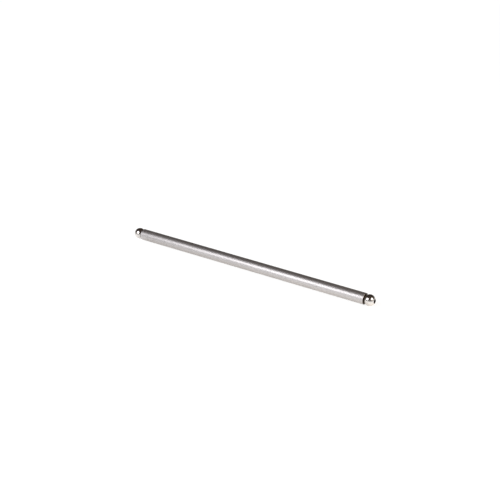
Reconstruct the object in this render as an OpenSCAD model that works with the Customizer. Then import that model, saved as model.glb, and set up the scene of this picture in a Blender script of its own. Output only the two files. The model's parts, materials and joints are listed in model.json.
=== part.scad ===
// Engine pushrod: a ground steel tube with a ball end pressed into each of its ends.
// The rod lies along X and is centred on the origin, with the rocker end at +X.
// Each ball end is turned in one piece: a ball, a round-bottomed neck groove, a shoulder that
// seats on the end of the tube, and a shank held in the tube's bore. An oil hole runs through it.

/* [Rod] */
// Length over the rod, between the rims of the two oil holes
overall_length = 198; // [120:0.5:300]

/* [Tube] */
// Outside diameter of the tube
tube_od = 7.94; // [7:0.01:9.5]
// Wall thickness of the tube
tube_wall = 1.65; // [1.3:0.05:2.2]
// Chamfer on the outer edge of each end of the tube
outer_chamfer = 0.1; // [0.05:0.05:0.5]
// Lead-in chamfer at each mouth of the tube's bore
bore_chamfer = 0.3; // [0.1:0.05:0.5]

/* [Ball end] */
// Diameter of the ball
ball_d = 7.94; // [7.2:0.01:10]
// Width of the shoulder outside the shank, which seats on the end of the tube
shoulder_width = 0.75; // [0.6:0.05:0.95]
// Length of the shoulder's land between the neck groove and the tube
shoulder_land = 0.1; // [0.05:0.05:3]
// Radius of the neck groove's round bottom
groove_radius = 0.4; // [0.3:0.05:0.8]
// Depth of the neck groove below the shoulder's outside
groove_depth = 0.3; // [0.2:0.05:0.4]
// Length of the shank inside the tube
shank_length = 9; // [5:0.5:25]
// Chamfer on the inner end of the shank
shank_chamfer = 0.4; // [0.2:0.05:0.5]

/* [Oil hole] */
// Diameter of the oil hole through each ball end
oil_hole_d = 2.5; // [1.5:0.1:3]
// Countersink where the oil hole opens on the ball
oil_mouth_chamfer = 0.25; // [0.1:0.05:0.5]

/* [Hidden] */
$fn = 96;

// Gap between shank and bore: a press fit, drawn line to line
press_gap = 0;

tube_r = tube_od / 2;
bore_r = tube_r - tube_wall;
ball_r = ball_d / 2;
oil_r = oil_hole_d / 2;
shank_r = bore_r - press_gap;
shoulder_r = shank_r + shoulder_width;
mouth_r = oil_r + oil_mouth_chamfer;

// Distance from the axis to the centre of the groove's arc
groove_centre_r = shoulder_r - groove_depth + groove_radius;
// How far the groove bites into the underside of the ball, so that the two meet at a crisp edge
groove_bite = 0.35 * groove_radius;

// Along the ball end's own axis, from the centre of the ball
nose_height = sqrt(ball_r ^ 2 - mouth_r ^ 2);
groove_drop = sqrt((ball_r + groove_radius - groove_bite) ^ 2 - groove_centre_r ^ 2);
groove_half_width = sqrt(groove_radius ^ 2 - (groove_centre_r - shoulder_r) ^ 2);
seat_depth = groove_drop + groove_half_width + shoulder_land;
shank_depth = seat_depth + shank_length;

// Along the rod, from its middle
ball_x = overall_length / 2 - nose_height;
seat_x = ball_x - seat_depth;

// A 2D rectangle from the axis out to radius r, between two heights
module band(r, low, high) {
    translate([0, low]) square([r, high - low]);
}

// Half of the tube's wall in section, drawn lying off the axis
module tube_section() {
    polygon([
        [bore_r + bore_chamfer, -seat_x],
        [tube_r - outer_chamfer, -seat_x],
        [tube_r, outer_chamfer - seat_x],
        [tube_r, seat_x - outer_chamfer],
        [tube_r - outer_chamfer, seat_x],
        [bore_r + bore_chamfer, seat_x],
        [bore_r, seat_x - bore_chamfer],
        [bore_r, bore_chamfer - seat_x]
    ]);
}

// The half of the ball that is outside the axis, as a half disc
module half_disc() {
    intersection() {
        circle(r = ball_r);
        band(ball_r, -ball_r, ball_r);
    }
}

// The shank with its chamfered inner end
module shank_section() {
    polygon([
        [0, -shank_depth],
        [shank_r - shank_chamfer, -shank_depth],
        [shank_r, shank_chamfer - shank_depth],
        [shank_r, 0],
        [0, 0]
    ]);
}

// The oil hole with its countersunk mouth, as the section to take away
module oil_hole_section() {
    band(oil_r, -shank_depth, nose_height);
    polygon([
        [0, nose_height - oil_mouth_chamfer],
        [oil_r, nose_height - oil_mouth_chamfer],
        [mouth_r, nose_height],
        [mouth_r, ball_r],
        [0, ball_r]
    ]);
}

// One ball end about Z, nose up, with the centre of the ball at the origin
module ball_end() {
    rotate_extrude() difference() {
        union() {
            half_disc();
            band(shoulder_r, -seat_depth, 0);
            shank_section();
        }
        translate([groove_centre_r, -groove_drop]) circle(r = groove_radius);
        oil_hole_section();
    }
}

module tube() {
    color("#bdb9b4") rotate([0, 90, 0]) rotate_extrude() tube_section();
}

module rocker_ball_end() {
    color("#d6d2cc") translate([ball_x, 0, 0]) rotate([0, 90, 0]) ball_end();
}

module lifter_ball_end() {
    color("#d6d2cc") translate([-ball_x, 0, 0]) rotate([0, -90, 0]) ball_end();
}

tube();
rocker_ball_end();
lifter_ball_end();
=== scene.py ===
"""Engine pushrod: a ground tube with a polished ball end in each end, its finishes and its studio.

Every piece is a profile turned about the rod's axis, X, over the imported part's own frame.
"""

import json

import bpy
import numpy as np
from bpy.props import FloatProperty, FloatVectorProperty, IntProperty, PointerProperty
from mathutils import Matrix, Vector


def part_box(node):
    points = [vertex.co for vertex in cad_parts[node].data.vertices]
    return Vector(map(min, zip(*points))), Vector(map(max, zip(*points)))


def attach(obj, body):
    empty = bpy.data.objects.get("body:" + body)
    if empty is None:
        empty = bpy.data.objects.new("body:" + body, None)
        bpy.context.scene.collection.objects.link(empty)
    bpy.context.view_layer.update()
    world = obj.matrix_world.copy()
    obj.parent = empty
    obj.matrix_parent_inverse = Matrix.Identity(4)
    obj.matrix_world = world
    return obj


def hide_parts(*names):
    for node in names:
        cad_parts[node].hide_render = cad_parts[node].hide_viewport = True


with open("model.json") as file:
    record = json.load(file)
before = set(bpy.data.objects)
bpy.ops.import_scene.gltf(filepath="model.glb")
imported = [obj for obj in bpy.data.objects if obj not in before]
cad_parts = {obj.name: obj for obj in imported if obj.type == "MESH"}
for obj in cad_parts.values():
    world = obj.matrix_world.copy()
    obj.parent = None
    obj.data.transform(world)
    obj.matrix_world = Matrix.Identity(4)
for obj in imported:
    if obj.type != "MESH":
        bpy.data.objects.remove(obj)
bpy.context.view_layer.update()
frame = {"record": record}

bl_info = {
    "name": "Engine Pushrod",
    "version": (1, 0, 0),
    "blender": (4, 5, 0),
    "location": "3D View > Sidebar > Pushrod",
    "description": "Builds an engine pushrod with its finishes and a small studio",
    "category": "Object",
}

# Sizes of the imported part, in metres

MM = 0.001
MOUNTS = {mount["name"]: mount["dims"] for mount in frame["record"]["mounts"]}
JOURNAL = MOUNTS["guide_journal"]
BALL_SEAT = MOUNTS["rocker_ball"]
OIL_HOLE = MOUNTS["rocker_oil_hole"]
TUBE_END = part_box("tube")[1].x
SHANK_END, NOSE_END = (corner.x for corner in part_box("rocker_ball_end"))
BORE_RADIUS = 2.32 * MM
SHOULDER_WIDTH = 0.75 * MM


# Sizes and colours that a user would change


class PushrodTubeSettings(bpy.types.PropertyGroup):
    """Sizes of the tube and the colour and sheen of its ground steel."""

    radius: FloatProperty(
        name="Outside radius",
        description="Radius of the tube's ground outside",
        default=JOURNAL["r_mm"] * MM,
        unit="LENGTH",
    )
    bore_radius: FloatProperty(
        name="Bore radius",
        description="Radius of the oil passage inside the tube",
        default=BORE_RADIUS,
        unit="LENGTH",
    )
    half_length: FloatProperty(
        name="Half length",
        description="From the middle of the rod to the end face of the tube",
        default=TUBE_END,
        unit="LENGTH",
    )
    outer_chamfer: FloatProperty(
        name="Outer chamfer",
        description="Broken edge on the outside of each end",
        default=TUBE_END - JOURNAL["length_mm"] * MM / 2,
        unit="LENGTH",
    )
    bore_chamfer: FloatProperty(
        name="Bore chamfer",
        description="Lead-in at each mouth of the bore",
        default=0.3 * MM,
        unit="LENGTH",
    )
    colour: FloatVectorProperty(
        name="Ground steel",
        description="Colour of the bare ground steel",
        default=(0.65, 0.63, 0.628),
        subtype="COLOR",
        min=0.0,
        max=1.0,
    )
    # The dark colour on the cut ends and in the bore is painted shade
    end_painted_shade: FloatVectorProperty(
        name="Cut ends",
        description="Colour of the dark scale on the cut ends and in the bore",
        default=(0.14, 0.115, 0.095),
        subtype="COLOR",
        min=0.0,
        max=1.0,
    )
    roughness: FloatProperty(
        name="Roughness",
        description="Mean roughness of the ground outside",
        default=0.485,
        subtype="FACTOR",
        min=0.0,
        max=1.0,
    )


class PushrodBallSettings(bpy.types.PropertyGroup):
    """Sizes of a ball end and the colour and sheen of its polished steel."""

    radius: FloatProperty(
        name="Ball radius",
        description="Radius of the bearing ball",
        default=BALL_SEAT["r_mm"] * MM,
        unit="LENGTH",
    )
    nose: FloatProperty(
        name="Nose",
        description="From the middle of the rod to the rim of the oil hole",
        default=NOSE_END,
        unit="LENGTH",
    )
    oil_radius: FloatProperty(
        name="Oil hole radius",
        description="Radius of the oil hole",
        default=OIL_HOLE["r_mm"] * MM,
        unit="LENGTH",
    )
    oil_mouth: FloatProperty(
        name="Oil mouth",
        description="Countersink where the oil hole opens on the ball",
        default=0.25 * MM,
        unit="LENGTH",
    )
    shoulder_radius: FloatProperty(
        name="Shoulder radius",
        description="Radius of the shoulder that seats on the end of the tube",
        default=BORE_RADIUS + SHOULDER_WIDTH,
        unit="LENGTH",
    )
    groove_radius: FloatProperty(
        name="Groove radius",
        description="Radius of the neck groove's round bottom",
        default=0.4 * MM,
        unit="LENGTH",
    )
    groove_depth: FloatProperty(
        name="Groove depth",
        description="Depth of the neck groove below the shoulder's outside",
        default=0.3 * MM,
        unit="LENGTH",
    )
    shank_end: FloatProperty(
        name="Shank end",
        description="From the middle of the rod to the inner end of the shank",
        default=SHANK_END,
        unit="LENGTH",
    )
    shank_chamfer: FloatProperty(
        name="Shank chamfer",
        description="Chamfer on the inner end of the shank",
        default=0.4 * MM,
        unit="LENGTH",
    )
    # The dark band on the ball beside the neck groove is a painted reflection of the dark tube end, and
    # painted shade
    painted_shade_band: FloatProperty(
        name="Scale band",
        description="Width of the dark scale that polishing leaves on the ball beside the neck groove",
        default=0.4 * MM,
        unit="LENGTH",
    )
    colour: FloatVectorProperty(
        name="Polished steel",
        description="Colour of the polished ball",
        default=(0.74, 0.705, 0.675),
        subtype="COLOR",
        min=0.0,
        max=1.0,
    )
    # The near-black colour in the neck groove and the oil hole is painted shade
    recess_painted_shade: FloatVectorProperty(
        name="Recesses",
        description="Colour of the dark scale in the neck groove and the oil hole",
        default=(0.06, 0.045, 0.035),
        subtype="COLOR",
        min=0.0,
        max=1.0,
    )
    roughness: FloatProperty(
        name="Ball roughness",
        description="Mean roughness of the polished ball",
        default=0.22,
        subtype="FACTOR",
        min=0.0,
        max=1.0,
    )


class PushrodStageSettings(bpy.types.PropertyGroup):
    """The camera, the lamps, the pale floor and the fineness of the turned pieces."""

    azimuth: FloatProperty(
        name="Camera azimuth",
        description="Degrees from the front, towards the rocker end",
        default=33.683,
    )
    elevation: FloatProperty(
        name="Camera elevation",
        description="Degrees above the floor",
        default=25.95,
    )
    distance: FloatProperty(
        name="Camera distance",
        description="From the middle of the rod to the camera",
        default=0.84286,
        unit="LENGTH",
    )
    lens: FloatProperty(
        name="Lens",
        description="Focal length in millimetres",
        default=87.55,
    )
    aim_right: FloatProperty(
        name="Aim right",
        description="How far right of the rod's middle the camera aims",
        default=0.00107,
        unit="LENGTH",
    )
    aim_up: FloatProperty(
        name="Aim up",
        description="How far above the rod's middle the camera aims",
        default=0.01025,
        unit="LENGTH",
    )
    floor_colour: FloatVectorProperty(
        name="Floor",
        description="Colour of the pale floor",
        default=(0.88, 0.88, 0.88),
        subtype="COLOR",
        min=0.0,
        max=1.0,
    )
    room_colour: FloatVectorProperty(
        name="Room",
        description="Colour of the dim room above the floor",
        default=(0.041, 0.03, 0.0245),
        subtype="COLOR",
        min=0.0,
        max=1.0,
    )
    front_colour: FloatVectorProperty(
        name="Front lamp",
        description="Colour of the soft lamp in front",
        default=(0.947, 0.957, 1.0),
        subtype="COLOR",
        min=0.0,
        max=1.0,
    )
    end_colour: FloatVectorProperty(
        name="End lamp",
        description="Colour of the soft lamp off the rocker end",
        default=(1.0, 0.915, 0.82),
        subtype="COLOR",
        min=0.0,
        max=1.0,
    )
    segments: IntProperty(
        name="Segments",
        description="Faces around each turned piece",
        default=192,
        min=32,
        max=512,
    )


# Profiles and turned surfaces

# How far the neck groove bites into the ball, as a share of the groove's radius
GROOVE_BITE = 0.35
# Rounding of the tube's edges and of the ball's two rims
TUBE_EDGE = 0.03 * MM
BALL_EDGE = 0.04 * MM
# Points along each round stretch of an outline
BALL_STEPS = 97
GROOVE_STEPS = 25
EDGE_STEPS = 5
# Below this a corner counts as straight
STRAIGHT = 1e-6
# Edges sharper than this keep a crease in the shading
CREASE = np.radians(40)


def arc(centre, radius, start, end, count):
    """Points centre + radius (cos a, sin a) for count angles a from start to end.

    A point is (place along X, distance off the axis).
    """
    angle = np.linspace(start, end, count)
    return np.asarray(centre) + radius * np.stack([np.cos(angle), np.sin(angle)], axis=1)


def soften(outline, radius):
    """Round the corners of a closed outline whose radius is above zero.

    A corner at P between unit directions u and w, back and forward along the outline, with half
    angle h between them, becomes the arc about C = P + (u + w) / |u + w| * radius / sin h that
    touches both sides. Points of the arc are C + radius times directions turned evenly from the
    first touching point to the last. A corner with no radius stays one point.
    """
    back = np.roll(outline, 1, axis=0) - outline
    ahead = np.roll(outline, -1, axis=0) - outline
    back /= np.linalg.norm(back, axis=1, keepdims=True)
    ahead /= np.linalg.norm(ahead, axis=1, keepdims=True)
    middle = back + ahead
    length = np.linalg.norm(middle, axis=1, keepdims=True)
    bent = (length[:, 0] > STRAIGHT) & (radius > 0)
    half = np.arccos(np.clip((back * ahead).sum(axis=1), -1, 1)) / 2
    reach = np.where(bent, radius / np.maximum(np.sin(half), STRAIGHT), 0)
    centre = outline + middle / np.maximum(length, STRAIGHT) * reach[:, None]
    touch = np.where(bent, radius / np.maximum(np.tan(half), STRAIGHT), 0)[:, None]
    first = outline + back * touch - centre
    last = outline + ahead * touch - centre
    start = np.arctan2(first[:, 1], first[:, 0])
    turn = np.arctan2(last[:, 1], last[:, 0]) - start
    turn = (turn + np.pi) % (2 * np.pi) - np.pi
    angle = start[:, None] + turn[:, None] * np.linspace(0, 1, EDGE_STEPS)
    size = np.where(bent, radius, 0)[:, None, None]
    points = centre[:, None] + size * np.stack([np.cos(angle), np.sin(angle)], axis=2)
    keep = np.broadcast_to(bent[:, None], angle.shape).copy()
    keep[:, 0] = True
    return points[keep]


def turned(outline, segments):
    """Turn a closed outline about X: point i at step j is (x, r cos t, r sin t), t = 2 pi j / segments.

    Both directions close on themselves, so the surface has no seam and no pole. Returns the
    points, the quads, and each quad's corners on a map of length along the outline by angle.
    An outline that runs anticlockwise has its quads flipped, so that all faces point outwards.
    """
    rings = len(outline)
    angle = np.arange(segments) * 2 * np.pi / segments
    along, off = outline[:, 0, None], outline[:, 1, None]
    points = np.stack(
        [
            np.broadcast_to(along, (rings, segments)),
            off * np.cos(angle),
            off * np.sin(angle),
        ],
        axis=2,
    ).reshape(-1, 3)
    ring, step = np.meshgrid(np.arange(rings), np.arange(segments), indexing="ij")
    corner_ring = np.stack([ring, ring, ring + 1, ring + 1], axis=2)
    corner_step = np.stack([step, step + 1, step + 1, step], axis=2)
    quads = (corner_ring % rings) * segments + corner_step % segments
    edge = np.roll(outline, -1, axis=0) - outline
    length = np.concatenate([[0], np.cumsum(np.linalg.norm(edge, axis=1))])
    chart = np.stack([length[corner_ring] / length[-1], corner_step / segments], axis=3)
    area = np.sum(outline[:, 0] * edge[:, 1] - outline[:, 1] * edge[:, 0])
    if area > 0:
        quads, chart = quads[..., ::-1], chart[..., ::-1, :]
    return points, quads.reshape(-1, 4), chart.reshape(-1, 2)


def turned_piece(name, node, outline, finish, material, segments):
    """A closed turned mesh that stands for one CAD node.

    finish is a number from 0 to 1 for each point of the outline, kept as a point attribute.
    """
    points, quads, chart = turned(outline, segments)
    mesh = bpy.data.meshes.new(name)
    mesh.from_pydata(points.tolist(), [], quads.tolist())
    mesh.uv_layers.new(name="turned").data.foreach_set("uv", chart.ravel())
    layer = mesh.attributes.new("finish", "FLOAT", "POINT")
    layer.data.foreach_set("value", np.repeat(finish, segments))
    mesh.polygons.foreach_set("use_smooth", np.ones(len(quads), bool))
    mesh.set_sharp_from_angle(angle=CREASE)
    mesh.update()
    if mesh.validate():
        raise RuntimeError(f"{name} has faces that don't hold")
    mesh.materials.append(material)
    piece = bpy.data.objects.new(name, mesh)
    bpy.context.scene.collection.objects.link(piece)
    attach(piece, "root")
    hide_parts(node)


def tube_outline(size):
    """The tube's wall in section, round one end, through the bore and round the other, edges just broken.

    The half at +X is four corners, and the half at -X is the same four with X turned round.
    """
    end, outer, bore = size.half_length, size.radius, size.bore_radius
    outer_cut, bore_cut = size.outer_chamfer, size.bore_chamfer
    half = np.array(
        [
            [end - outer_cut, outer],
            [end, outer - outer_cut],
            [end, bore + bore_cut],
            [end - bore_cut, bore],
        ]
    )
    corners = np.concatenate([half, half[::-1] * [-1, 1]])
    return soften(corners, np.full(len(corners), TUBE_EDGE))


def ball_outline(size, tube):
    """A ball end in section, from the oil hole's mouth over the ball to the shank, and its ball's place.

    The ball is a circle of the ball's radius about (ball_x, 0). The neck groove is a circle that
    bites into the ball's underside, so the two meet at an edge where the law of cosines puts it.
    """
    mouth = size.oil_radius + size.oil_mouth
    ball_x = size.nose - np.sqrt(size.radius**2 - mouth**2)
    groove_off = size.shoulder_radius - size.groove_depth + size.groove_radius
    groove_gap = size.radius + (1 - GROOVE_BITE) * size.groove_radius
    groove_drop = np.sqrt(groove_gap**2 - groove_off**2)
    lean = np.arctan2(groove_off, -groove_drop)
    ball_edge = np.arccos(
        (size.radius**2 + groove_gap**2 - size.groove_radius**2) / (2 * size.radius * groove_gap)
    )
    groove_edge = np.arccos(
        (size.groove_radius**2 + groove_gap**2 - size.radius**2)
        / (2 * size.groove_radius * groove_gap)
    )
    groove_floor = np.arcsin((size.shoulder_radius - groove_off) / size.groove_radius)
    ball = arc(
        (ball_x, 0),
        size.radius,
        np.arctan2(mouth, size.nose - ball_x),
        lean - ball_edge,
        BALL_STEPS,
    )
    groove = arc(
        (ball_x - groove_drop, groove_off),
        size.groove_radius,
        lean - np.pi + groove_edge,
        -np.pi - groove_floor,
        GROOVE_STEPS,
    )
    seat = tube.half_length
    shank = np.array(
        [
            [seat, size.shoulder_radius],
            [seat, tube.bore_radius],
            [size.shank_end + size.shank_chamfer, tube.bore_radius],
            [size.shank_end, tube.bore_radius - size.shank_chamfer],
            [size.shank_end, size.oil_radius],
            [size.nose - size.oil_mouth, size.oil_radius],
        ]
    )
    outline = np.concatenate([ball, groove[1:], shank])
    radius = np.zeros(len(outline))
    radius[[0, len(ball) - 1]] = BALL_EDGE
    return soften(outline, radius), ball_x


# Nodes

# Spacing of the node editor's columns and rows
COLUMN = 200
ROW = -180


def add_node(tree, kind, place, **settings):
    """A node at a column and row, with settings that are its attributes or else its sockets."""
    node = tree.nodes.new(kind)
    node.location = (place[0] * COLUMN, place[1] * ROW)
    for key, value in settings.items():
        if hasattr(node, key):
            setattr(node, key, value)
        else:
            node.inputs[key.replace("_", " ").title()].default_value = value
    return node


def wire(tree, *pairs):
    """Link each (output socket, input socket) pair."""
    for source, target in pairs:
        tree.links.new(source, target)


def feed(tree, value, slot):
    """Give an input socket a link from another socket, a number or a colour."""
    if isinstance(value, bpy.types.NodeSocket):
        tree.links.new(value, slot)
    elif slot.type == "RGBA":
        slot.default_value = (*value, 1.0)
    else:
        slot.default_value = value


def socket(sockets, identifier):
    """The one of a node's sockets that has this identifier."""
    return next(item for item in sockets if item.identifier == identifier)


def mapped(tree, place, source, values, span=(0.0, 1.0), smooth=False):
    """A socket that runs between two values as source runs over a span, eased at both ends if smooth."""
    node = add_node(tree, "ShaderNodeMapRange", place)
    node.interpolation_type = "SMOOTHSTEP" if smooth else "LINEAR"
    for name, value in zip(("From Min", "From Max", "To Min", "To Max"), (*span, *values)):
        node.inputs[name].default_value = value
    feed(tree, source, node.inputs["Value"])
    return node.outputs["Result"]


def combined(tree, place, operation, first, second=0.0):
    """A socket that holds an operation on two sockets or numbers."""
    node = add_node(tree, "ShaderNodeMath", place, operation=operation)
    feed(tree, first, node.inputs[0])
    feed(tree, second, node.inputs[1])
    return node.outputs["Value"]


def blended(tree, place, factor, first, second):
    """A colour socket between two colours, or colour sockets, by a factor socket."""
    node = add_node(tree, "ShaderNodeMix", place, data_type="RGBA")
    feed(tree, factor, socket(node.inputs, "Factor_Float"))
    feed(tree, first, socket(node.inputs, "A_Color"))
    feed(tree, second, socket(node.inputs, "B_Color"))
    return socket(node.outputs, "Result_Color")


def new_group(name, inputs, outputs):
    """An empty group of shader nodes with these number sockets, and its entry and exit nodes."""
    tree = bpy.data.node_groups.new(name, "ShaderNodeTree")
    for in_out, titles in (("INPUT", inputs), ("OUTPUT", outputs)):
        for title in titles:
            tree.interface.new_socket(title, in_out=in_out, socket_type="NodeSocketFloat")
    entry = add_node(tree, "NodeGroupInput", (0, 0))
    leave = add_node(tree, "NodeGroupOutput", (7, 0))
    return tree, entry, leave


def placed_group(tree, place, name, builder, number):
    """A node with the shared group of that name, which is built once, and the group's one number."""
    node = add_node(tree, "ShaderNodeGroup", place)
    node.node_tree = bpy.data.node_groups.get(name) or builder()
    node.inputs[0].default_value = number
    return node


def new_material(name):
    """A material with no nodes yet, and its node tree."""
    material = bpy.data.materials.new(name)
    material.use_nodes = True
    material.node_tree.nodes.clear()
    return material, material.node_tree


# Steel

# Mean roughness where shade is painted, lines to a metre and how far they lighten or darken the colour,
# smudges to a metre, how metallic the surface is under its film of oil, and the strength of the bump
GROUND_FINISH = {
    "plain_roughness": 0.5,
    "pitch": 9000.0,
    "contrast": 0.18,
    "smudge_scale": 150.0,
    "metallic": 0.93,
    "relief": 0.5,
}
POLISHED_FINISH = {
    "plain_roughness": 0.45,
    "pitch": 14000.0,
    "contrast": 0.08,
    "smudge_scale": 260.0,
    "metallic": 1.0,
    "relief": 0.012,
}

# Name of a pattern, its share of the pitch along X, its changes to a metre around X, and its octaves
LINE_PATTERNS = (
    ("Lines", 1.0, 110.0, 3.0),
    ("Furrows", 0.24, 80.0, 2.0),
    ("Bands", 0.045, 55.0, 2.0),
)
# Share of the furrows in the grain, beside the lines
FURROW_SHARE = 0.15

# Octaves of the cloudy noise that draws smudges, and its values where one begins and where it is full
CLOUD_OCTAVES = 4.0
SMUDGE_SPAN = (0.42, 0.72)
# Strength of each octave beside the one before, in the lines and in the clouds
LINE_GAIN = 0.6
CLOUD_GAIN = 0.55

# Turn in radians and changes to a metre of the noise that draws scratches
SCRATCH_TURN = (0.35, 0.12, 0.22)
SCRATCH_STRETCH = (130.0, 900.0, 900.0)
SCRATCH_OCTAVES = 1.0
# A scratch follows the noise's middle value, and fades in from this far off it
NOISE_MIDDLE = 0.5
SCRATCH_SPAN = (0.012, 0.0)
# Depth of a scratch beside the grain, and the height of both
SCRATCH_DEPTH = 0.5
RELIEF_HEIGHT = 0.016 * MM

# How much of a tint shows at the low and the high end of its pattern, and the tint's gain
BAND_SHARE = (-0.1, 0.4)
BAND_TINT = 0.95
SMUDGE_SHARE = (0.0, 0.13)
SMUDGE_TINT = 0.9
# Roughness beside its mean at the low and the high end of the grain and of a smudge
GRAIN_ROUGHNESS = (0.86, 1.14)
SMUDGE_ROUGHNESS = (0.995, 1.015)
# How much faster green and blue fall than red as the steel darkens
DARK_WARMTH = np.array([0.0, 0.15, 0.3])
# Refractive index of the film of oil
OIL_IOR = 1.45


def turning_lines_group():
    """Lines left around the rod by grinding and polishing.

    Object coordinates are stretched so that noise changes quickly along X and slowly around it.
    Lines is the fine pattern, Furrows a coarser one and Bands the slow feed of the wheel, each
    from 0 to 1.
    """
    titles = [name for name, *_ in LINE_PATTERNS]
    tree, entry, leave = new_group("Turning lines", ["Pitch"], titles)
    place = add_node(tree, "ShaderNodeTexCoord", (0, 1))
    for row, (name, share, around, octaves) in enumerate(LINE_PATTERNS):
        stretch = add_node(tree, "ShaderNodeCombineXYZ", (2, row), y=around, z=around)
        scaled = add_node(tree, "ShaderNodeVectorMath", (3, row), operation="MULTIPLY")
        noise = add_node(
            tree, "ShaderNodeTexNoise", (4, row), scale=1.0, detail=octaves, roughness=LINE_GAIN
        )
        pitch = combined(tree, (1, row), "MULTIPLY", entry.outputs["Pitch"], share)
        wire(
            tree,
            (pitch, stretch.inputs["X"]),
            (place.outputs["Object"], scaled.inputs[0]),
            (stretch.outputs["Vector"], scaled.inputs[1]),
            (scaled.outputs["Vector"], noise.inputs["Vector"]),
            (noise.outputs["Fac"], leave.inputs[name]),
        )
    return tree


def handling_group():
    """Faint marks of handling: soft smudges of oil and a few hair-fine scratches, both from 0 to 1.

    A scratch is where a stretched noise passes through its middle value, kept only in smudges.
    """
    tree, entry, leave = new_group("Handling marks", ["Smudge scale"], ["Smudge", "Scratches"])
    place = add_node(tree, "ShaderNodeTexCoord", (0, 1))
    cloud = add_node(
        tree, "ShaderNodeTexNoise", (2, 0), detail=CLOUD_OCTAVES, roughness=CLOUD_GAIN
    )
    smudge = mapped(tree, (4, 0), cloud.outputs["Fac"], (0.0, 1.0), SMUDGE_SPAN, smooth=True)
    turn = add_node(
        tree, "ShaderNodeMapping", (1, 1), rotation=SCRATCH_TURN, scale=SCRATCH_STRETCH
    )
    hair = add_node(tree, "ShaderNodeTexNoise", (2, 1), scale=1.0, detail=SCRATCH_OCTAVES)
    signed = combined(tree, (3, 1), "SUBTRACT", hair.outputs["Fac"], NOISE_MIDDLE)
    off_middle = combined(tree, (4, 1), "ABSOLUTE", signed)
    thin = mapped(tree, (5, 1), off_middle, (0.0, 1.0), SCRATCH_SPAN, smooth=True)
    scratches = combined(tree, (6, 1), "MULTIPLY", thin, smudge)
    wire(
        tree,
        (place.outputs["Object"], cloud.inputs["Vector"]),
        (entry.outputs["Smudge scale"], cloud.inputs["Scale"]),
        (place.outputs["Object"], turn.inputs["Vector"]),
        (turn.outputs["Vector"], hair.inputs["Vector"]),
        (smudge, leave.inputs["Smudge"]),
        (scratches, leave.inputs["Scratches"]),
    )
    return tree


def tinted(colour, gain):
    """A colour times a gain, and a little warmer where the gain darkens it.

    Each channel is also multiplied by min(gain, 1) to the power of its own warmth.
    """
    return tuple((np.asarray(colour) * gain * min(gain, 1.0) ** DARK_WARMTH).tolist())


def steel_material(
    name,
    colour,
    scale,
    roughness,
    plain_roughness,
    pitch,
    contrast,
    smudge_scale,
    metallic,
    relief,
):
    """Bare steel, with a dark colour of painted shade where its finish attribute is 0 and a finished
    surface where it is 1.

    Turning lines and smudges vary its colour and its roughness, and lines and scratches make its bump.
    """
    material, tree = new_material(name)
    lines = placed_group(tree, (0, 0), "Turning lines", turning_lines_group, pitch)
    marks = placed_group(tree, (0, 2), "Handling marks", handling_group, smudge_scale)
    finish = add_node(tree, "ShaderNodeAttribute", (0, 4), attribute_name="finish")
    finished = finish.outputs["Fac"]
    smudge = marks.outputs["Smudge"]
    fine = combined(tree, (1, 0), "MULTIPLY", lines.outputs["Lines"], 1 - FURROW_SHARE)
    coarse = combined(tree, (1, 2), "MULTIPLY", lines.outputs["Furrows"], FURROW_SHARE)
    grain = combined(tree, (1, 1), "ADD", fine, coarse)

    pale, dark = tinted(colour, 1 + contrast), tinted(colour, 1 - contrast)
    lined = blended(tree, (2, 0), grain, dark, pale)
    band_share = mapped(tree, (2, 1), lines.outputs["Bands"], BAND_SHARE)
    banded = blended(tree, (3, 0), band_share, lined, tinted(colour, BAND_TINT))
    smudge_share = mapped(tree, (3, 1), smudge, SMUDGE_SHARE)
    smudged = blended(tree, (4, 0), smudge_share, banded, tinted(colour, SMUDGE_TINT))
    # Where the finish attribute is 0 the colour is the dark one given as scale, which is painted shade
    shown = blended(tree, (5, 0), finished, tuple(scale), smudged)

    mean = mapped(tree, (2, 3), finished, (plain_roughness, roughness))
    grained = combined(tree, (3, 3), "MULTIPLY", mean, mapped(tree, (2, 4), grain, GRAIN_ROUGHNESS))
    oiled = mapped(tree, (3, 4), smudge, SMUDGE_ROUGHNESS)
    rough = combined(tree, (4, 3), "MULTIPLY", grained, oiled)

    cut = combined(tree, (3, 5), "MULTIPLY", marks.outputs["Scratches"], SCRATCH_DEPTH)
    height = combined(tree, (4, 5), "SUBTRACT", grain, cut)
    bump = add_node(tree, "ShaderNodeBump", (5, 4), strength=relief, distance=RELIEF_HEIGHT)
    shader = add_node(tree, "ShaderNodeBsdfPrincipled", (6, 0), metallic=metallic)
    shader.inputs["IOR"].default_value = OIL_IOR
    output = add_node(tree, "ShaderNodeOutputMaterial", (8, 0))
    wire(
        tree,
        (shown, shader.inputs["Base Color"]),
        (rough, shader.inputs["Roughness"]),
        (height, bump.inputs["Height"]),
        (bump.outputs["Normal"], shader.inputs["Normal"]),
        (shader.outputs["BSDF"], output.inputs["Surface"]),
    )
    return material


# Floor

# Half the floor's side, the radius where it begins to rise, its height at the sides, and points a side
FLOOR_HALF = 8.0
FLOOR_FLAT = 5.0
FLOOR_RISE = 4.0
FLOOR_POINTS = 161

# Each span is a distance or a height in metres, with the floor's glow at the span's two ends.
# Close to the rod, seen by the camera and seen in the steel, where the glow dims as a painted shadow
NEAR_SPAN = (0.002, 0.016)
NEAR_CAMERA_GLOW = (0.88, 1.0)
NEAR_MIRROR_GLOW = (0.58, 1.0)
# Away from the rod, along X towards the rocker end, and up the raised sides, seen in the steel, where the
# changes in glow are painted shade
FALL_SPAN = (0.01, 0.12)
FALL_GLOW = (1.0, 0.45)
LEAN_SPAN = (-0.1, 0.1)
LEAN_GLOW = (0.775, 1.0)
SIDE_SPAN = (0.0, 3.5)
SIDE_GLOW = (1.0, 0.1)
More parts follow.
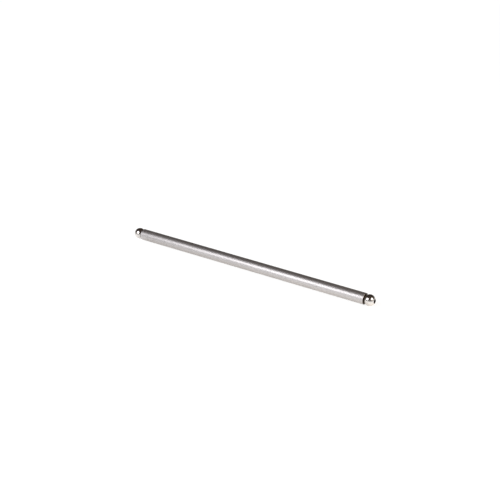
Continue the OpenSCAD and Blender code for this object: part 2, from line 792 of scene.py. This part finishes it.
# Extra glow past the two noses, which is painted light, and the share of it that shows away from the rod,
# seen in the steel
NOSE_SPAN = (NOSE_END - 4.5 * MM, NOSE_END + 1.0 * MM)
NOSE_PAINTED_LIGHT = (0.0, 0.6)
CLOSE_SPAN = (0.015, 0.04)
CLOSE_SHARE = (1.0, 0.0)
# The strength that is white, which no glow passes
WHITE_GLOW = 1.0
# Shift of the painted shadow close to the rod towards the rocker end, and what a metre past the tube's
# ends counts as
NEAR_SHIFT = 0.006
END_STRETCH = 1.5
# Colour of the glow close to the rod and away from it, seen in the steel, and seen by the camera
NEAR_TINT = (1.0, 0.973, 0.93)
FAR_TINT = (0.965, 0.985, 1.0)
WHITE = (1.0, 1.0, 1.0)
# Share of the floor's colour that lamps light, where the camera sees it and where the steel does
CAMERA_SHADE = 0.25
MIRROR_SHADE = 0.5


def rod_reach(tree):
    """How far a point of the floor is from the rod, and the node that splits the point into X, Y and Z.

    The rod counts as a line between the tube's ends, so the distance is the length of (past, y),
    where past is how far the point lies past an end, times the stretch there.
    """
    place = add_node(tree, "ShaderNodeTexCoord", (0, 2))
    parts = add_node(tree, "ShaderNodeSeparateXYZ", (1, 2))
    shifted = combined(tree, (1, 3), "SUBTRACT", parts.outputs["X"], NEAR_SHIFT)
    along = combined(tree, (2, 2), "ABSOLUTE", shifted)
    beyond = combined(tree, (3, 2), "SUBTRACT", along, TUBE_END)
    past = combined(tree, (4, 2), "MAXIMUM", beyond, 0.0)
    stretched = combined(tree, (5, 3), "MULTIPLY", past, END_STRETCH)
    off = add_node(tree, "ShaderNodeCombineXYZ", (5, 2))
    reach = add_node(tree, "ShaderNodeVectorMath", (6, 2), operation="LENGTH")
    wire(
        tree,
        (place.outputs["Object"], parts.inputs["Vector"]),
        (stretched, off.inputs["X"]),
        (parts.outputs["Y"], off.inputs["Y"]),
        (off.outputs["Vector"], reach.inputs[0]),
    )
    return reach.outputs["Value"], parts


def mirrored_glow(tree, clear, reach, parts):
    """The floor's glow as the steel mirrors it.

    It is the glow close to the rod times its falls up the raised sides, towards the lifter end and
    away from the rod, times 1 plus the extra past the noses, and is white at the most. The dimming
    close to the rod and these falls are painted shade, and the extra past the noses is painted light.
    """
    glow = mapped(tree, (8, 2), clear, NEAR_MIRROR_GLOW)
    for row, (source, values, span, smooth) in enumerate(
        (
            (parts.outputs["Z"], SIDE_GLOW, SIDE_SPAN, True),
            (parts.outputs["X"], LEAN_GLOW, LEAN_SPAN, False),
            (reach, FALL_GLOW, FALL_SPAN, True),
        ),
        start=3,
    ):
        share = mapped(tree, (7, row), source, values, span, smooth)
        glow = combined(tree, (8, row), "MULTIPLY", glow, share)
    along = combined(tree, (6, 6), "ABSOLUTE", parts.outputs["X"])
    past_nose = mapped(tree, (7, 6), along, NOSE_PAINTED_LIGHT, NOSE_SPAN, smooth=True)
    close = mapped(tree, (7, 7), reach, CLOSE_SHARE, CLOSE_SPAN, smooth=True)
    # Painted light past the noses, close to the rod
    extra = combined(tree, (8, 6), "MULTIPLY", past_nose, close)
    gain = combined(tree, (8, 7), "ADD", extra, 1.0)
    lifted = combined(tree, (9, 6), "MULTIPLY", glow, gain)
    return combined(tree, (9, 7), "MINIMUM", lifted, WHITE_GLOW)


def floor_material(colour):
    """Pale floor that glows white to the camera and in the steel, and keeps the rod's shadow.

    Close to the rod the glow fades a little, which paints a shadow there, and what the steel mirrors
    is warm there and cool elsewhere.
    """
    material, tree = new_material("pale_floor")
    reach, parts = rod_reach(tree)
    path = add_node(tree, "ShaderNodeLightPath", (0, 0))
    watched = path.outputs["Is Camera Ray"]
    glossy, through = path.outputs["Is Glossy Ray"], path.outputs["Is Transmission Ray"]
    mirrored = combined(tree, (1, 0), "MAXIMUM", glossy, through)

    # The share of the way clear of the shadow painted close to the rod, from 0 to 1
    clear = mapped(tree, (7, 2), reach, (0.0, 1.0), NEAR_SPAN, smooth=True)
    camera_glow = mapped(tree, (8, 1), clear, NEAR_CAMERA_GLOW)
    mirror_glow = mirrored_glow(tree, clear, reach, parts)
    to_camera = combined(tree, (9, 1), "MULTIPLY", watched, camera_glow)
    to_steel = combined(tree, (10, 6), "MULTIPLY", mirrored, mirror_glow)
    strength = combined(tree, (10, 1), "ADD", to_camera, to_steel)
    mirror_tint = blended(tree, (9, 4), clear, NEAR_TINT, FAR_TINT)
    tint = blended(tree, (10, 2), watched, mirror_tint, WHITE)

    camera_shade = tuple(CAMERA_SHADE * value for value in colour)
    mirror_shade = tuple(MIRROR_SHADE * value for value in colour)
    shade = blended(tree, (9, 3), watched, tuple(colour), camera_shade)
    lit = blended(tree, (10, 3), mirrored, shade, mirror_shade)
    diffuse = add_node(tree, "ShaderNodeBsdfDiffuse", (11, 1))
    glow = add_node(tree, "ShaderNodeEmission", (11, 0))
    both = add_node(tree, "ShaderNodeAddShader", (12, 0))
    output = add_node(tree, "ShaderNodeOutputMaterial", (13, 0))
    wire(
        tree,
        (strength, glow.inputs["Strength"]),
        (tint, glow.inputs["Color"]),
        (lit, diffuse.inputs["Color"]),
        (glow.outputs["Emission"], both.inputs[0]),
        (diffuse.outputs["BSDF"], both.inputs[1]),
        (both.outputs["Shader"], output.inputs["Surface"]),
    )
    return material


# Operators

# How far below its outside the tube is still ground, and how far off the ball still counts as on it
GROUND_DEPTH = 0.05 * MM
ON_BALL = 0.01 * MM

# Each lamp's place, the point that it faces, half its width and height, and its radiance
FRONT_LAMP = {
    "place": (-0.218, -0.505, 0.372),
    "target": (0.0, 0.0, 0.0),
    "half_size": (0.236, 0.183),
    "radiance": 5.55,
}
END_LAMP = {
    "place": (0.458, -0.034, 0.28),
    "target": (0.095, 0.0, 0.0),
    "half_size": (0.112, 0.112),
    "radiance": 9.0,
}
# Width of the camera's sensor in millimetres, and how far off its view begins in metres
SENSOR_WIDTH = 36.0
CLIP_START = 0.01


class PUSHROD_OT_tube(bpy.types.Operator):
    """Build the ground steel tube"""

    bl_idname = "pushrod.tube"
    bl_label = "Tube"

    def execute(self, context):
        tube = context.scene.pushrod_tube
        outline = tube_outline(tube)
        # Off the ground outside, on the cut ends and in the bore, the tube takes the dark colour of
        # painted shade
        finish = (outline[:, 1] > tube.radius - GROUND_DEPTH).astype(float)
        material = steel_material(
            "ground_steel", tube.colour, tube.end_painted_shade, tube.roughness, **GROUND_FINISH
        )
        turned_piece(
            "ground_tube",
            "tube",
            outline,
            finish,
            material,
            context.scene.pushrod_stage.segments,
        )
        return {"FINISHED"}


class PUSHROD_OT_ball_ends(bpy.types.Operator):
    """Build the two polished ball ends"""

    bl_idname = "pushrod.ball_ends"
    bl_label = "Ball ends"

    def execute(self, context):
        ball, tube = context.scene.pushrod_ball, context.scene.pushrod_tube
        outline, ball_x = ball_outline(ball, tube)
        # On the ball the finish ramps up from the neck over the band; off it, in the groove, the oil hole
        # and on the shank, it is 0, where shade is painted
        off_ball = np.abs(np.hypot(outline[:, 0] - ball_x, outline[:, 1]) - ball.radius)
        on_ball = off_ball < ON_BALL
        from_neck = outline[:, 0] - outline[on_ball, 0].min()
        finish = on_ball * np.clip(from_neck / ball.painted_shade_band, 0, 1)
        material = steel_material(
            "polished_steel", ball.colour, ball.recess_painted_shade, ball.roughness, **POLISHED_FINISH
        )
        for name, node, side in (
            ("rocker_ball", "rocker_ball_end", 1),
            ("lifter_ball", "lifter_ball_end", -1),
        ):
            turned_piece(
                name,
                node,
                outline * [side, 1],
                finish,
                material,
                context.scene.pushrod_stage.segments,
            )
        return {"FINISHED"}


class PUSHROD_OT_stage(bpy.types.Operator):
    """Set up the floor, the lamps, the dim room and the camera"""

    bl_idname = "pushrod.stage"
    bl_label = "Stage"

    def execute(self, context):
        stage = context.scene.pushrod_stage
        self.add_floor(context, stage)
        self.add_lamp(context, "front_lamp", stage.front_colour, **FRONT_LAMP)
        self.add_lamp(context, "end_lamp", stage.end_colour, **END_LAMP)
        self.add_room(context, stage)
        self.add_camera(context, stage)
        context.scene.view_settings.view_transform = "Standard"
        return {"FINISHED"}

    def add_floor(self, context, stage):
        """A square sheet under the rod, level in the middle and raised at its sides.

        Past the level part, the height is the rise times the square of the share of the way out.
        """
        side = np.linspace(-FLOOR_HALF, FLOOR_HALF, FLOOR_POINTS)
        x, y = np.meshgrid(side, side, indexing="ij")
        way_out = np.clip((np.hypot(x, y) - FLOOR_FLAT) / (FLOOR_HALF - FLOOR_FLAT), 0, 1)
        z = -context.scene.pushrod_tube.radius + FLOOR_RISE * way_out**2
        points = np.stack([x, y, z], axis=2).reshape(-1, 3)
        index = np.arange(FLOOR_POINTS**2).reshape(FLOOR_POINTS, FLOOR_POINTS)
        quads = np.stack(
            [index[:-1, :-1], index[1:, :-1], index[1:, 1:], index[:-1, 1:]], axis=2
        ).reshape(-1, 4)
        mesh = bpy.data.meshes.new("floor")
        mesh.from_pydata(points.tolist(), [], quads.tolist())
        mesh.polygons.foreach_set("use_smooth", np.ones(len(quads), bool))
        mesh.materials.append(floor_material(stage.floor_colour))
        floor = bpy.data.objects.new("floor", mesh)
        context.scene.collection.objects.link(floor)

    def add_lamp(self, context, name, colour, place, target, half_size, radiance):
        """A soft oval lamp close to the rod, which the camera doesn't see.

        An oval of half width a and half height b has the area pi a b, and with the radiance L its
        power is L times pi times that area.
        """
        half_width, half_height = half_size
        lamp = bpy.data.lights.new(name, "AREA")
        lamp.shape = "ELLIPSE"
        lamp.size = 2 * half_width
        lamp.size_y = 2 * half_height
        lamp.energy = radiance * np.pi * np.pi * half_width * half_height
        lamp.color = colour
        holder = self.add_aimed(context, name, lamp, Vector(place), Vector(target))
        holder.visible_camera = False

    def add_room(self, context, stage):
        """A dim room all round."""
        world = bpy.data.worlds.new("dim_room")
        world.use_nodes = True
        shade = world.node_tree.nodes["Background"]
        shade.inputs["Color"].default_value = (*stage.room_colour, 1.0)
        context.scene.world = world

    def add_camera(self, context, stage):
        """A camera on a sphere about the rod's middle, aimed a little off it."""
        azimuth, elevation = np.radians([stage.azimuth, stage.elevation])
        back = Vector(
            (
                np.sin(azimuth) * np.cos(elevation),
                -np.cos(azimuth) * np.cos(elevation),
                np.sin(elevation),
            )
        )
        right = Vector((np.cos(azimuth), np.sin(azimuth), 0))
        aim = right * stage.aim_right + back.cross(right) * stage.aim_up
        camera = bpy.data.cameras.new("camera")
        camera.lens = stage.lens
        camera.sensor_width = SENSOR_WIDTH
        camera.clip_start = CLIP_START
        context.scene.camera = self.add_aimed(context, "camera", camera, back * stage.distance, aim)

    def add_aimed(self, context, name, data, place, target):
        """A lamp or camera at a place, facing a target, with its own Y as near upwards as it can be."""
        holder = bpy.data.objects.new(name, data)
        holder.location = place
        holder.rotation_euler = (target - place).to_track_quat("-Z", "Y").to_euler()
        context.scene.collection.objects.link(holder)
        return holder


class PUSHROD_PT_panel(bpy.types.Panel):
    """Pushrod pieces and their settings"""

    bl_idname = "PUSHROD_PT_panel"
    bl_label = "Engine Pushrod"
    bl_space_type = "VIEW_3D"
    bl_region_type = "UI"
    bl_category = "Pushrod"

    def draw(self, context):
        for operator, settings in (
            (PUSHROD_OT_tube, context.scene.pushrod_tube),
            (PUSHROD_OT_ball_ends, context.scene.pushrod_ball),
            (PUSHROD_OT_stage, context.scene.pushrod_stage),
        ):
            box = self.layout.box()
            box.operator(operator.bl_idname)
            for key in settings.__annotations__:
                box.prop(settings, key)


CLASSES = (
    PushrodTubeSettings,
    PushrodBallSettings,
    PushrodStageSettings,
    PUSHROD_OT_tube,
    PUSHROD_OT_ball_ends,
    PUSHROD_OT_stage,
    PUSHROD_PT_panel,
)


def register():
    """Register the classes and hang the settings on the scene."""
    for item in CLASSES:
        bpy.utils.register_class(item)
    bpy.types.Scene.pushrod_tube = PointerProperty(type=PushrodTubeSettings)
    bpy.types.Scene.pushrod_ball = PointerProperty(type=PushrodBallSettings)
    bpy.types.Scene.pushrod_stage = PointerProperty(type=PushrodStageSettings)


def unregister():
    """Take the settings and the classes away again."""
    del bpy.types.Scene.pushrod_stage
    del bpy.types.Scene.pushrod_ball
    del bpy.types.Scene.pushrod_tube
    for item in reversed(CLASSES):
        bpy.utils.unregister_class(item)


def main():
    """Build every piece and the stage."""
    register()
    bpy.ops.pushrod.tube()
    bpy.ops.pushrod.ball_ends()
    bpy.ops.pushrod.stage()


if __name__ == "__main__":
    main()
